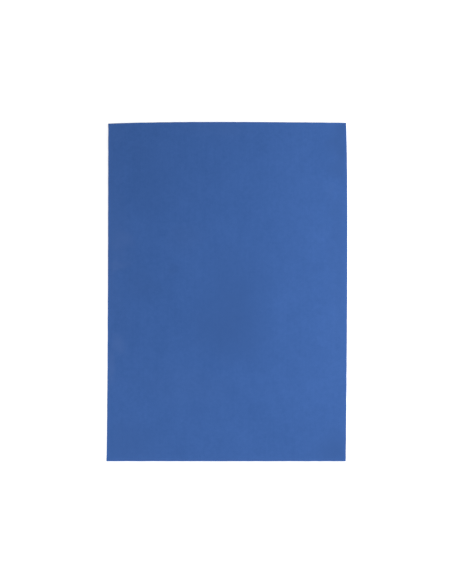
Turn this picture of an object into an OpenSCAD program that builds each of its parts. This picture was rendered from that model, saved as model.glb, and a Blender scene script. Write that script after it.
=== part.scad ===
// Craft foam sheet of the A4 format: one piece of soft closed-cell foam, lying flat.
// A stack-cut foam sheet comes out a little bowed and a little out of square, so each cut edge
// is a shallow curve between its two corners, and the blade leaves both rims slightly rolled over.
// Frame: +Z up, +Y along the length, origin under the middle of the sheet on its resting face.

/* [Sheet] */
// Length of the straight bottom edge
sheet_w = 210.5; // [60:0.5:420]
// Height of the top right corner above the bottom edge
sheet_l = 297.7; // [80:0.1:600]
// Thickness of the foam
sheet_t = 2; // [1:0.5:10]

/* [Corners] */
// How far the top left corner lies in from the left end of the bottom edge
top_left_in = 1.6; // [0:0.1:6]
// How far the top left corner lies below the top right corner
top_left_drop = 0.8; // [0:0.1:6]
// How far the top right corner lies out from the right end of the bottom edge
top_right_out = 0.3; // [0:0.1:6]

/* [Cut edges] */
// How far the top edge swells out of the line between its corners
top_bow = 1.2; // [0:0.1:4]
// How far the right edge swells out of the line between its corners
right_bow = 1.2; // [0:0.1:4]
// How far the left edge is hollowed in from the line between its corners
left_hollow = 0.5; // [0:0.1:4]
// Radius of the rim that the blade rolls over, on the top and on the underside
rim_r = 0.3; // [0.05:0.05:0.45]

/* [Hidden] */

foam_blue = [62, 99, 163] / 255;

// Where each curve leans to along its edge, going counter-clockwise: 0.5 is an even bow
right_lean_share = 0.81;
top_lean_share = 0.75;
left_lean_share = 0.81;

// Straight pieces that draw one curved edge, and one quarter round of the rim
edge_steps = 24;
rim_steps = 3;

// Corners of the outline at a distance inside the cut edge, counter-clockwise from the bottom left
function corners(inset) = [
    [inset, inset],
    [sheet_w - inset, inset],
    [sheet_w + top_right_out - inset, sheet_l - inset],
    [top_left_in + inset, sheet_l - top_left_drop - inset]
];

// Points from corner a up to, but not with, corner b, on a quadratic curve that swells out by bow.
// The curve passes halfway to its control point, so that point stands twice as far out.
function cut_edge(a, b, bow = 0, lean_share = 0.5) =
    let (
        chord = b - a,
        outward = [chord.y, -chord.x] / norm(chord),
        control = a + chord * lean_share + outward * 2 * bow,
        steps = bow == 0 ? 1 : edge_steps
    )
    [for (i = [0 : steps - 1])
        let (s = i / steps)
        a * pow(1 - s, 2) + control * 2 * s * (1 - s) + b * pow(s, 2)];

// The whole outline at a distance inside the cut edge
function outline(inset) =
    let (c = corners(inset))
    concat(
        cut_edge(c[0], c[1]),
        cut_edge(c[1], c[2], right_bow, right_lean_share),
        cut_edge(c[2], c[3], top_bow, top_lean_share),
        cut_edge(c[3], c[0], -left_hollow, left_lean_share)
    );

// Section of the rim as [distance inside the cut edge, height], from the underside to the top
function quarter_round(k) =
    let (turn = 90 * k / rim_steps)
    [rim_r * (1 - sin(turn)), rim_r * (1 - cos(turn))];

rim_section = concat(
    [for (k = [0 : rim_steps]) quarter_round(k)],
    [for (k = [rim_steps : -1 : 0]) let (q = quarter_round(k)) [q.x, sheet_t - q.y]]
);

// Middle of the outline's box, which goes to the origin
cut_line = outline(0);
cut_x = [for (p = cut_line) p.x];
cut_y = [for (p = cut_line) p.y];
middle = [max(cut_x) + min(cut_x), max(cut_y) + min(cut_y)] / 2;

// The flat of the sheet, inside the rolled rims
module flat() {
    linear_extrude(height = sheet_t) polygon(outline(rim_r));
}

// The rim all round: its section swept along the outline, which closes on the flat's own edge
module rim() {
    ring = len(cut_line);
    rings = len(rim_section);
    points = [for (r = rim_section) for (p = outline(r.x)) [p.x, p.y, r.y]];
    faces = [for (k = [0 : rings - 1]) for (i = [0 : ring - 1])
        let (low = k * ring, high = (k + 1) % rings * ring, next = (i + 1) % ring)
        [low + i, high + i, high + next, low + next]];
    polyhedron(points = points, faces = faces);
}

module foam_sheet() {
    color(foam_blue) translate(-middle) {
        flat();
        rim();
    }
}

foam_sheet();
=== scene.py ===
import math

import bpy
import numpy as np
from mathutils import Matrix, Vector


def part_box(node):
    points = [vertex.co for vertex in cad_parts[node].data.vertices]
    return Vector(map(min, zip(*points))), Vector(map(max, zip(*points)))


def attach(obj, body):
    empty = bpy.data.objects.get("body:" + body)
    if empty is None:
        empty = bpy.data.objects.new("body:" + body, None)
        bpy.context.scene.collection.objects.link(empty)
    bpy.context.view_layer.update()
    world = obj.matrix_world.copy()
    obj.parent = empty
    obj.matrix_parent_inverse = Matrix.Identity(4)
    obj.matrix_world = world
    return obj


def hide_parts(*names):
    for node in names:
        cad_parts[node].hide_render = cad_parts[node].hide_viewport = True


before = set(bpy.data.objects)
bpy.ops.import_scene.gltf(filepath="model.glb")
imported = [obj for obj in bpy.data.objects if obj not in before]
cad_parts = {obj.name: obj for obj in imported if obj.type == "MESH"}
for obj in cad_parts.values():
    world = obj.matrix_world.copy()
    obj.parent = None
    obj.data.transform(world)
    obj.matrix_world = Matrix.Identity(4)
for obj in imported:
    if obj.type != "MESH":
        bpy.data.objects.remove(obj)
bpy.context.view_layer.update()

NODE = "foam_sheet"
PIECE = "soft_foam_sheet"
LOW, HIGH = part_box(NODE)
WIDTH, LENGTH, THICK = HIGH - LOW
# Decimals of a metre at which two of the CAD's points count as one
SNAP_DIGITS = 7

# The picture's frame in pixels, where the sheet's middle is in it, and the real size of one pixel
PICTURE_W, PICTURE_H = 452, 584
MIDDLE_X, MIDDLE_Y = 226.9, 291.6
PIXEL = 0.8791e-3
LENS = 85

# Grid of the two faces: its step, and how the steps grow from the rim inwards
STEP = 1.4e-3
FIRST_STEP = 0.25e-3
STEP_GROWTH = 1.5
# Steps round each quarter of the rim, and down the wall between its two rounds
RIM_STEPS = 4
WALL_STEPS = 5

# Relief of the skived upper face, and the blade's ripple along the cut, as heights and lengths of waves
FACE_WAVES = ((0.050e-3, 48e-3), (0.010e-3, 11e-3), (0.004e-3, 4.5e-3))
CUT_WAVES = ((0.025e-3, 13e-3), (0.010e-3, 5e-3))
FACE_SEED, CUT_SEED = 10, 40
# How many sine waves make up one such swell, and the range of their lengths as shares of its own
WAVE_COUNT = 24
WAVE_SPREAD = (0.7, 1.5)
# How hollow the cut wall is, and how far in from it the faces lose their relief and turn paler, as wear
# and as painted glare from the white around the sheet
CUT_HOLLOW = 0.06e-3
EDGE_REACH = 2.0e-3

# Rubs, stains and painted shade on the upper face: x, y, half width, half length, and how pale, or below
# zero how dark
MARKS_AND_SHADE = (
    # Rubs near the left edge
    (-95.5e-3, -47.0e-3, 6.0e-3, 7.0e-3, 0.58),
    (-103.0e-3, -65.0e-3, 6.0e-3, 13.0e-3, 0.75),
    (-96.0e-3, 23.5e-3, 5.5e-3, 5.0e-3, 0.6),
    (-93.0e-3, 44.0e-3, 13.0e-3, 8.0e-3, 0.4),
    # Fainter pale places
    (-37.0e-3, 48.0e-3, 17.0e-3, 13.0e-3, 0.2),
    (-102.0e-3, 55.0e-3, 17.0e-3, 95.0e-3, 0.28),
    (95.0e-3, 90.0e-3, 6.0e-3, 6.5e-3, 0.4),
    (-8.0e-3, 144.0e-3, 26.0e-3, 9.0e-3, 0.25),
    (-30.0e-3, -82.0e-3, 38.0e-3, 20.0e-3, 0.15),
    # A small stain to the left, a painted shadow of a camera overhead on the middle, and darker places to
    # the left
    (-49.0e-3, 20.3e-3, 5.0e-3, 5.0e-3, -0.5),
    # Painted shadow of a camera overhead, over the middle in two parts
    (4.0e-3, -29.5e-3, 33.0e-3, 32.0e-3, -0.65),
    (12.0e-3, 16.0e-3, 30.0e-3, 25.0e-3, -0.32),
    (-70.0e-3, 100.0e-3, 32.0e-3, 36.0e-3, -0.2),
    (-76.0e-3, 5.0e-3, 22.0e-3, 13.0e-3, -0.3),
    # Darker lower corners, a darker strip along the right edge, and painted shade at the upper right
    # corner, which curls away from the light
    (100.0e-3, -145.0e-3, 20.0e-3, 22.0e-3, -0.8),
    (-92.0e-3, -135.0e-3, 33.0e-3, 21.0e-3, -0.38),
    # Painted shade of the upper right corner curling away from the light
    (103.0e-3, 132.0e-3, 12.0e-3, 34.0e-3, -0.6),
    (103.0e-3, 65.0e-3, 11.0e-3, 115.0e-3, -0.42),
)
# How far, and over what length, the outlines of those marks wander
MARK_DRIFT = ((1.6e-3, 24e-3), (0.6e-3, 9e-3))
DRIFT_SEED_X, DRIFT_SEED_Y = 70, 80
# How firmly a mark ends, where 1 is a soft bell, and how much of it shows on dark and on pale mottling
MARK_FIRMNESS = 1.5
MARK_COVER = (0.7, 1.2)

# The map that the finish is baked on: shares of its height for each face and each cut, and the margin
MAP_NAME = "OFBake"
UPPER_SHARE, UNDER_SHARE, CUT_SHARE = 0.56, 0.35, 0.015
MAP_MARGIN = 0.004

# Colour of the foam, and its tones, as how light and how chalky each is
FOAM = (0.0337, 0.1077, 0.3438)
DARK, PALE = (0.93, -0.0035), (1.07, 0.0035)
# The first tone below darkens stains and painted shade alike
STAINED_AND_SHADED, RUBBED = (0.86, 0), (1.015, 0.0165)
CUT_DARK, CUT_PALE = (0.97, 0.001), (1.19, 0.009)
CUT_COVER = 0.7

# Patterns in the tone: the size of each, and how much it counts
CLOUD_SIZE, CLOUD_WEIGHT = 34e-3, 0.22
MOTTLE_SIZE, MOTTLE_WEIGHT = 9e-3, 0.16
GRAIN_SIZE, GRAIN_WEIGHT = 3e-3, 0.24
STREAK_SIZE, STREAK_WEIGHT, STREAK_STRETCH = 1.6e-3, 0.1, 60
# The cells and holes darken the colour in their pits, as painted shade
CELL_WEIGHT = 0.3
TONE_MIDDLE = 0.45
HOLE_SHADE = 0.3
# How many finer layers the noise has, in the clouds and elsewhere, and the range that it mostly keeps to
CLOUD_DETAIL, NOISE_DETAIL = 3, 2
NOISE_RANGE = (0.25, 0.75)

# Pits: how far apart they are, and the shares of that which a pit's floor and its rim reach
CELLS = (0.26e-3, 0.15, 0.75)
PINHOLES = (1.0e-3, 0.07, 0.15)
PORES = (2.6e-3, 0.05, 0.11)
# How deep the cells are on the skived faces and on the cut, and how deep the holes and the grain are
FACE_CELL_DEPTH, CUT_CELL_DEPTH = 0.034e-3, 0.06e-3
HOLE_DEPTH = 0.08e-3
GRAIN_DEPTH = 0.006e-3

# Gloss: roughness in the cells and between them, what changes it, and the foam's faint sheen
ROUGH_IN_CELL, ROUGH_BETWEEN = 0.66, 0.56
ROUGH_BY_MOTTLE, ROUGH_BY_MARKS, ROUGH_BY_CUT = 0.04, -0.06, 0.15
SPECULAR = 0.22
SHEEN, SHEEN_ROUGHNESS = 0.08, 0.5
SHEEN_TINT = (0.55, 0.7, 1, 1)

# Soft boxes, each with its place, side and power, and the sky's colour and even ambient level
KEY = ((0.43, 0.025, 0.30), 0.4, 2.65)
FILL = ((-0.20, -0.30, 0.20), 0.4, 0.61)
SKY_COLOUR = (1, 1, 1, 1)
AMBIENT = 0.4

# Floor: its colour, its half side, and how far under the sheet it lies
FLOOR_COLOUR = (0.8, 0.8, 0.8, 1)
FLOOR_HALF = 6.0
FLOOR_GAP = 0.05e-3
# The floor's own glow close to the sheet's middle and far from it, and the two distances that this means
GLOW_CLOSE, GLOW_FAR = 0.62, 0.8
CLOSE, FAR = 0.2, 0.8

# Sockets of the Mix node when it mixes colours, whose names its other kinds of mix use too
MIX_FACTOR, MIX_FIRST, MIX_SECOND = 0, 6, 7
MIX_RESULT = 2


def waves(x, y, height, length, seed):
    """Heights of a random but repeatable swell, made of sine waves in all directions."""
    draw = np.random.default_rng(seed)
    turn, phase = draw.uniform(0, 2 * math.pi, (2, WAVE_COUNT))
    pitch = 2 * math.pi / (length * draw.uniform(*WAVE_SPREAD, WAVE_COUNT))
    along_wave = np.multiply.outer(x, pitch * np.cos(turn)) + np.multiply.outer(y, pitch * np.sin(turn))
    return height * np.cos(along_wave + phase).sum(-1) * math.sqrt(2 / WAVE_COUNT)


def swell(x, y, bands, seed):
    """The sum of several swells, one for each height and length in bands."""
    return sum(waves(x, y, height, length, seed + k) for k, (height, length) in enumerate(bands))


def cut_outline():
    """The CAD sheet's cut as four edges, counter-clockwise from the bottom left, and its rim's radius."""
    points = np.array([v.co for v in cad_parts[NODE].data.vertices])
    below = points[points[:, 2] < THICK / 2]
    rim = below[:, 2].max()
    ring = np.unique(below[np.isclose(below[:, 2], rim), :2].round(SNAP_DIGITS), axis=0)
    ring = ring[np.argsort(np.arctan2(ring[:, 1], ring[:, 0]))]
    x, y = ring.T
    corners = [np.argmin(x + y), np.argmax(x - y), np.argmax(x + y), np.argmin(x - y)]
    edges = []
    for start, end in zip(corners, corners[1:] + corners[:1]):
        steps = (end - start) % len(ring)
        edges.append(ring[(start + np.arange(steps + 1)) % len(ring)])
    return edges, rim


EDGES, RIM = cut_outline()


def run_shares(line):
    """How far along a line each of its points is, as a share of the line's length."""
    run = np.concatenate([[0], np.cumsum(np.linalg.norm(np.diff(line, axis=0), axis=1))])
    return run / run[-1]


def along(edge, share):
    """Points at these shares of the length of an edge."""
    shares = run_shares(edge)
    return np.stack([np.interp(share, shares, edge[:, k]) for k in (0, 1)], axis=-1)


def plan(u, v, inset):
    """Points at shares u of the width and v of the length, all within the cut moved in by inset."""
    u = (inset + u * (WIDTH - 2 * inset)) / WIDTH
    v = (inset + v * (LENGTH - 2 * inset)) / LENGTH
    bottom, right, top, left = EDGES
    at_bottom, at_top = along(bottom, u), along(top[::-1], u)
    at_left, at_right = along(left[::-1], v), along(right, v)
    u, v = u[..., None], v[..., None]
    corners = (1 - v) * ((1 - u) * bottom[0] + u * right[0]) + v * ((1 - u) * left[0] + u * top[0])
    return (1 - v) * at_bottom + v * at_top + (1 - u) * at_left + u * at_right - corners


def graded(length):
    """Shares of a length for grid lines, close together at both ends and even between them."""
    near = [0]
    step = FIRST_STEP
    while step < STEP:
        near.append(near[-1] + step)
        step *= STEP_GROWTH
    even = np.linspace(near[-1], length - near[-1], round((length - 2 * near[-1]) / STEP) + 1)
    return np.concatenate([near[:-1], even, length - np.array(near[-2::-1])]) / length


def face_points(u, v):
    """Points of the uneven upper face and the flat underside, and how worn, and how pale by painted
    glare, both are near the cut.
    """
    flat = plan(u, v, RIM)
    x, y = flat[..., 0], flat[..., 1]
    inside = np.minimum(np.minimum(u, 1 - u) * WIDTH, np.minimum(v, 1 - v) * LENGTH)
    wear_and_painted_light = np.exp(-inside / EDGE_REACH)
    upper = np.dstack([x, y, THICK + swell(x, y, FACE_WAVES, FACE_SEED) * (1 - wear_and_painted_light)])
    under = np.dstack([x, y, np.zeros_like(x)])
    return upper.reshape(-1, 3), under.reshape(-1, 3), wear_and_painted_light.ravel()


def rim_section():
    """The rim from the upper face to the underside, as rows of distance inside the cut and height."""
    turn = np.linspace(0, math.pi / 2, RIM_STEPS + 1)
    inset, drop = RIM * (1 - np.sin(turn)), RIM * (1 - np.cos(turn))
    wall = np.linspace(THICK - RIM, RIM, WALL_STEPS + 1)[1:-1]
    hollow = CUT_HOLLOW * np.sin(math.pi * (wall - RIM) / (THICK - 2 * RIM))
    insets = np.concatenate([inset, hollow, inset[::-1]])
    heights = np.concatenate([THICK - drop, wall, drop[::-1]])
    return np.column_stack([insets, heights])


def cut_rings(u, v, section):
    """A ring of points for each row of the rim's section, pushed in and out by the blade's ripple."""
    outward = np.column_stack([(u == 1) * 1 - (u == 0), (v == 1) * 1 - (v == 0)])
    rings = []
    for inset, height in section:
        ring = plan(u, v, inset)
        ripple = swell(ring[:, 0] + height, ring[:, 1] - height, CUT_WAVES, CUT_SEED) * (1 - inset / RIM)
        ring += outward * ripple[:, None]
        rings.append(np.column_stack([ring, np.full(len(ring), height)]))
    return rings


def marks_and_shade_at(points):
    """How rubbed, or below zero how dark from stains and painted shade, the upper face is at each point.
    """
    x, y, z = points.T
    drift_x, drift_y = (swell(x, y, MARK_DRIFT, seed) for seed in (DRIFT_SEED_X, DRIFT_SEED_Y))
    found = np.zeros(len(points))
    for place_x, place_y, half_w, half_l, strength in MARKS_AND_SHADE:
        away = ((x + drift_x - place_x) / half_w) ** 2 + ((y + drift_y - place_y) / half_l) ** 2
        found += strength * np.exp(-away ** MARK_FIRMNESS)
    return found * (z > THICK / 2)


def quads(grid):
    """The four corners of each cell of a grid, counter-clockwise."""
    cells = np.stack([grid[:-1, :-1], grid[1:, :-1], grid[1:, 1:], grid[:-1, 1:]], axis=2)
    return cells.reshape(-1, 4, *grid.shape[2:])


def map_patch(rows, columns, high, share):
    """Places on the map for a grid: its columns run right across, its rows down from high by a share."""
    return np.dstack(np.meshgrid(MAP_MARGIN + columns * (1 - 2 * MAP_MARGIN), high - rows * share))


def grid_mesh(points, grids):
    """A smooth mesh of several grids of points, whose patches lie one below the other on the map."""
    faces, places = [], []
    high = 1
    for grid, rows, columns, share in grids:
        high -= MAP_MARGIN
        faces.append(quads(grid))
        places.append(quads(map_patch(rows, columns, high, share)))
        high -= share
    faces, places = np.concatenate(faces), np.concatenate(places)
    mesh = bpy.data.meshes.new(PIECE)
    mesh.from_pydata(points.tolist(), [], faces.tolist())
    mesh.polygons.foreach_set("use_smooth", np.ones(len(faces), bool))
    mesh.uv_layers.new(name=MAP_NAME).data.foreach_set("uv", places.astype(np.float32).ravel())
    return mesh


def store(mesh, name, values):
    """Keeps one number per point on the mesh, for its material to read."""
    mesh.attributes.new(name, "FLOAT", "POINT").data.foreach_set("value", values.astype(np.float32))


def foam_piece():
    """The soft sheet as one closed mesh: two faces, and rings of points round the rim between them."""
    across, up = graded(WIDTH), graded(LENGTH)
    u, v = np.meshgrid(across, up, indexing="ij")
    upper, under, wear_and_painted_light = face_points(u, v)

    # The rings follow the faces' own edge, counter-clockwise from the bottom left
    index = np.arange(u.size).reshape(u.shape)
    loop = np.concatenate([index[:-1, 0], index[-1, :-1], index[:0:-1, -1], index[0, :0:-1]])
    section = rim_section()
    rings = cut_rings(u.ravel()[loop], v.ravel()[loop], section[1:-1])
    points = np.concatenate([upper, under, *rings])

    # Each face, and each side of the rim, is a grid of points with a patch of its own on the map
    ring_index = np.arange(2 * u.size, len(points)).reshape(len(rings), -1)
    band = np.stack([loop, *ring_index, u.size + loop])
    band = np.concatenate([band, band[:, :1]], axis=1)
    down = run_shares(section)
    grids = [(index, across, up, UPPER_SHARE), (u.size + index[::-1], across, up, UNDER_SHARE)]
    start = 0
    for side in (across, up, across, up):
        end = start + len(side) - 1
        grids.append((band[:, start:end + 1], down, side, CUT_SHARE))
        start = end

    mesh = grid_mesh(points, grids)
    store(mesh, "marks_and_shade", marks_and_shade_at(points))
    # Near the cut the faces take the cut's paler colour, as wear and as painted glare
    store(mesh, "cut", np.concatenate([wear_and_painted_light, wear_and_painted_light, np.ones(ring_index.size)]))
    piece = bpy.data.objects.new(PIECE, mesh)
    bpy.context.scene.collection.objects.link(piece)
    return piece


def add(tree, kind, links=None, **settings):
    """A new shader node. links gives its inputs, each another node's output or a plain value."""
    node = tree.nodes.new("ShaderNode" + kind)
    for name, value in settings.items():
        setattr(node, name, value)
    for name, value in (links or {}).items():
        if isinstance(value, bpy.types.NodeSocket):
            tree.links.new(value, node.inputs[name])
        else:
            node.inputs[name].default_value = value
    return node


def maths(tree, operation, *values):
    """The result of one sum."""
    return add(tree, "Math", dict(enumerate(values)), operation=operation).outputs["Value"]


def remap(tree, value, low, high, to_low, to_high):
    """value taken from one range to another, and held inside it."""
    ends = {"From Min": low, "From Max": high, "To Min": to_low, "To Max": to_high}
    return add(tree, "MapRange", {"Value": value, **ends}).outputs["Result"]


def mix(tree, factor, first, second):
    """A colour between two, by factor."""
    links = {MIX_FACTOR: factor, MIX_FIRST: first, MIX_SECOND: second}
    return add(tree, "Mix", links, data_type="RGBA").outputs[MIX_RESULT]


def noise(tree, at, size, detail=NOISE_DETAIL):
    """Cloudy noise with blotches of about this size, from -1 to 1."""
    found = add(tree, "TexNoise", {"Vector": at, "Scale": 1 / size, "Detail": detail}).outputs["Fac"]
    return remap(tree, found, *NOISE_RANGE, -1, 1)


def pits(tree, at, spacing, floor_share, rim_share):
    """Round pits about this far apart: 0 on a pit's floor and 1 outside its rim."""
    found = add(tree, "TexVoronoi", {"Vector": at, "Scale": 1 / spacing}).outputs["Distance"]
    return remap(tree, found, floor_share, rim_share, 0, 1)


def foam_tone(light, chalk):
    """The foam's colour, lighter or darker, with some chalky white in it."""
    return (*(light * c + chalk for c in FOAM), 1)


def foam_material():
    """Matte closed-cell foam: skived cells and pores, soft mottling, rubs, stains and painted shade, and
    paler cuts, with painted glare near them.
    """
    material = bpy.data.materials.new("blue_foam")
    material.use_nodes = True
    tree = material.node_tree
    shader = tree.nodes["Principled BSDF"].inputs
    at = add(tree, "TexCoord").outputs["Object"]
    # The marks carry stains and painted shade, and the cut's paleness reaches onto the faces as wear and
    # painted glare
    marks_and_shade = add(tree, "Attribute", attribute_name="marks_and_shade").outputs["Fac"]
    cut = add(tree, "Attribute", attribute_name="cut").outputs["Fac"]

    # Patterns, from broad clouds to the long streaks of the skiving knife, from -1 to 1
    cloud = noise(tree, at, CLOUD_SIZE, CLOUD_DETAIL)
    mottle = noise(tree, at, MOTTLE_SIZE)
    grain = noise(tree, at, GRAIN_SIZE)
    stretch = (1, 1 / STREAK_STRETCH, 1)
    lengthways = add(tree, "Mapping", {"Vector": at, "Scale": stretch}).outputs["Vector"]
    streak = noise(tree, lengthways, STREAK_SIZE)
    # The opened cells, and the pinholes and larger pores among them, from 0 in a pit to 1 outside it
    cell = pits(tree, at, *CELLS)
    hole = maths(tree, "MINIMUM", pits(tree, at, *PINHOLES), pits(tree, at, *PORES))

    # The foam's colour goes from dark to pale by all of these; its cells' pits, and its holes most, are
    # darker as painted shade
    tone = TONE_MIDDLE
    weights = (CLOUD_WEIGHT, MOTTLE_WEIGHT, GRAIN_WEIGHT, STREAK_WEIGHT)
    for pattern, weight in zip((cloud, mottle, grain, streak), weights):
        tone = maths(tree, "MULTIPLY_ADD", pattern, weight, tone)
    tone = maths(tree, "ADD", tone, remap(tree, cell, 0, 1, -CELL_WEIGHT, CELL_WEIGHT))
    tone = maths(tree, "MULTIPLY", tone, remap(tree, hole, 0, 1, HOLE_SHADE, 1))
    colour = mix(tree, tone, foam_tone(*DARK), foam_tone(*PALE))
    # Rubs, stains, painted shade, and the cut's opened cells, which on the faces near the cut also stand
    # for painted glare, lie over it
    wear_and_painted_light = maths(tree, "MULTIPLY", marks_and_shade, remap(tree, mottle, -1, 1, *MARK_COVER))
    colour = mix(tree, remap(tree, wear_and_painted_light, 0, 1, 0, 1), colour, foam_tone(*RUBBED))
    # Below zero the marks darken it, as stains and as painted shade
    colour = mix(tree, remap(tree, wear_and_painted_light, 0, -1, 0, 1), colour, foam_tone(*STAINED_AND_SHADED))
    # On the cut the opened cells are darker in their pits, as painted shade
    open_cells = mix(tree, cell, foam_tone(*CUT_DARK), foam_tone(*CUT_PALE))
    colour = mix(tree, maths(tree, "MULTIPLY", cut, CUT_COVER), colour, open_cells)
    tree.links.new(colour, shader["Base Color"])

    # Rubs are a little glossier than the rest, and the cut is the roughest
    rough = remap(tree, cell, 0, 1, ROUGH_IN_CELL, ROUGH_BETWEEN)
    for cause, change in ((mottle, ROUGH_BY_MOTTLE), (marks_and_shade, ROUGH_BY_MARKS), (cut, ROUGH_BY_CUT)):
        rough = maths(tree, "MULTIPLY_ADD", cause, change, rough)
    tree.links.new(rough, shader["Roughness"])
    shader["Specular IOR Level"].default_value = SPECULAR
    shader["Sheen Weight"].default_value = SHEEN
    shader["Sheen Roughness"].default_value = SHEEN_ROUGHNESS
    shader["Sheen Tint"].default_value = SHEEN_TINT

    # The bumps' height is in metres, so the bump node takes it as it is
    height = maths(tree, "MULTIPLY", cell, remap(tree, cut, 0, 1, FACE_CELL_DEPTH, CUT_CELL_DEPTH))
    height = maths(tree, "MULTIPLY_ADD", hole, HOLE_DEPTH, height)
    height = maths(tree, "MULTIPLY_ADD", grain, GRAIN_DEPTH, height)
    bump = add(tree, "Bump", {"Height": height, "Distance": 1, "Strength": 1})
    tree.links.new(bump.outputs["Normal"], shader["Normal"])
    return material


def seen_directly(tree):
    """1 for the rays that show a backdrop as it is: from the camera, off gloss and through glass."""
    path = add(tree, "LightPath").outputs
    seen = maths(tree, "MAXIMUM", path["Is Camera Ray"], path["Is Glossy Ray"])
    return maths(tree, "MAXIMUM", seen, path["Is Transmission Ray"])


def floor_material():
    """White that takes a shadow, and glows a little for the rays that show it directly."""
    material = bpy.data.materials.new("floor_white")
    material.use_nodes = True
    tree = material.node_tree
    tree.nodes.clear()
    place = add(tree, "TexCoord").outputs["Object"]
    away = add(tree, "VectorMath", {0: place}, operation="LENGTH").outputs["Value"]
    strength = remap(tree, away, CLOSE, FAR, GLOW_CLOSE, GLOW_FAR)
    glow = add(tree, "Emission", {"Strength": strength}).outputs["Emission"]
    diffuse = add(tree, "BsdfDiffuse", {"Color": FLOOR_COLOUR}).outputs["BSDF"]
    glowing = add(tree, "AddShader", {0: diffuse, 1: glow}).outputs["Shader"]
    surface = add(tree, "MixShader", {0: seen_directly(tree), 1: diffuse, 2: glowing}).outputs["Shader"]
    add(tree, "OutputMaterial", {"Surface": surface})
    return material


def floor():
    """A white studio floor just under the sheet."""
    signs = ((-1, -1), (1, -1), (1, 1), (-1, 1))
    corners = [(x * FLOOR_HALF, y * FLOOR_HALF, -FLOOR_GAP) for x, y in signs]
    mesh = bpy.data.meshes.new("floor")
    mesh.from_pydata(corners, [], [(0, 1, 2, 3)])
    mesh.materials.append(floor_material())
    plane = bpy.data.objects.new("floor", mesh)
    bpy.context.scene.collection.objects.link(plane)


def backdrop():
    """An even white sky, which lights the sheet at the ambient level and looks white itself."""
    world = bpy.data.worlds.new("studio")
    world.use_nodes = True
    tree = world.node_tree
    background = tree.nodes["Background"].inputs
    background["Color"].default_value = SKY_COLOUR
    tree.links.new(remap(tree, seen_directly(tree), 0, 1, AMBIENT, 1), background["Strength"])
    bpy.context.scene.world = world


def soft_light(name, place, side, power):
    """A square soft box that faces the middle of the sheet."""
    light = bpy.data.lights.new(name, "AREA")
    light.size = side
    light.energy = power
    lamp = bpy.data.objects.new(name, light)
    lamp.location = place
    lamp.rotation_euler = (-Vector(place)).to_track_quat("-Z", "Y").to_euler()
    lamp.visible_camera = False
    bpy.context.scene.collection.objects.link(lamp)


def camera():
    """The camera straight above, with the sheet where the picture has it."""
    lens = bpy.data.cameras.new("camera")
    lens.lens = LENS
    eye = bpy.data.objects.new("camera", lens)
    eye.location = (
        (PICTURE_W / 2 - MIDDLE_X) * PIXEL,
        (MIDDLE_Y - PICTURE_H / 2) * PIXEL,
        THICK + PICTURE_H * PIXEL * LENS / lens.sensor_width,
    )
    bpy.context.scene.collection.objects.link(eye)
    bpy.context.scene.camera = eye


sheet = foam_piece()
sheet.data.materials.append(foam_material())
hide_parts(NODE)
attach(sheet, "root")

floor()
backdrop()
soft_light("key", *KEY)
soft_light("fill", *FILL)
camera()
bpy.context.scene.view_settings.view_transform = "Standard"
